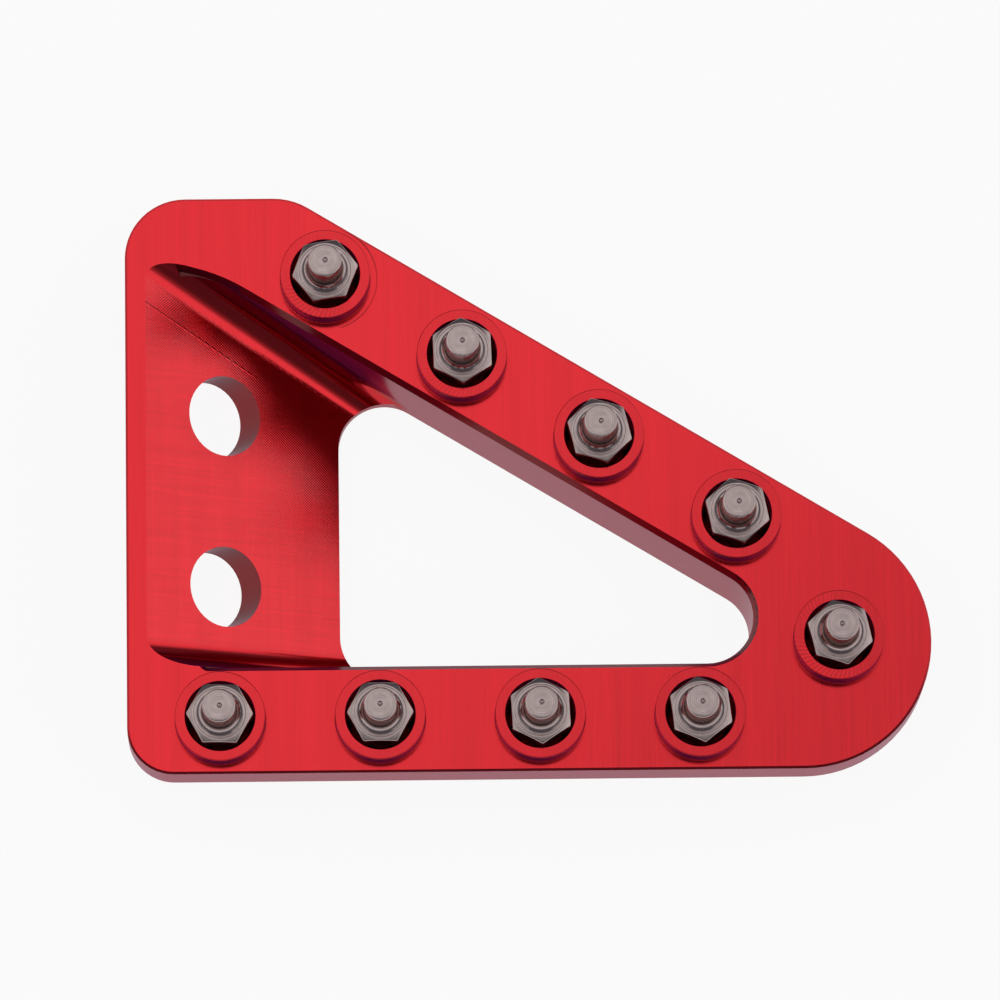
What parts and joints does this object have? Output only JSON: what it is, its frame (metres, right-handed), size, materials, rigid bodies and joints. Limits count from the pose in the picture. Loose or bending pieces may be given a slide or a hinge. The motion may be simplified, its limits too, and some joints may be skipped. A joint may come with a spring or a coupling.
{
  "type": "brake pedal step plate",
  "caption": "Triangular milled step plate with screwed-in hexagon-foot grip pins, a sloping bolt-on web and an open middle, for the end of a motorcycle brake lever.",
  "frame": {"origin": "middle of the lever seat, the sloping flat face under the web, halfway between the two bolt holes", "axes": "+X from the mount edge to the nose, +Y across the plate towards the slanted arm, +Z out of the tread face, along the grip pins"},
  "size_m": [0.0691, 0.0503, 0.0196],
  "materials": {
    "anodised_plate": "red anodised over a fine milled and brushed surface",
    "pin_steel": "plain turned stainless steel"
  },
  "bodies": {
    "root": {"pedal_plate": "anodised_plate", "grip_pin_lower_1": "pin_steel", "grip_pin_lower_2": "pin_steel", "grip_pin_lower_3": "pin_steel", "grip_pin_lower_4": "pin_steel", "grip_pin_upper_1": "pin_steel", "grip_pin_upper_2": "pin_steel", "grip_pin_upper_3": "pin_steel", "grip_pin_upper_4": "pin_steel", "grip_pin_nose": "pin_steel"}
  },
  "joints": []
}
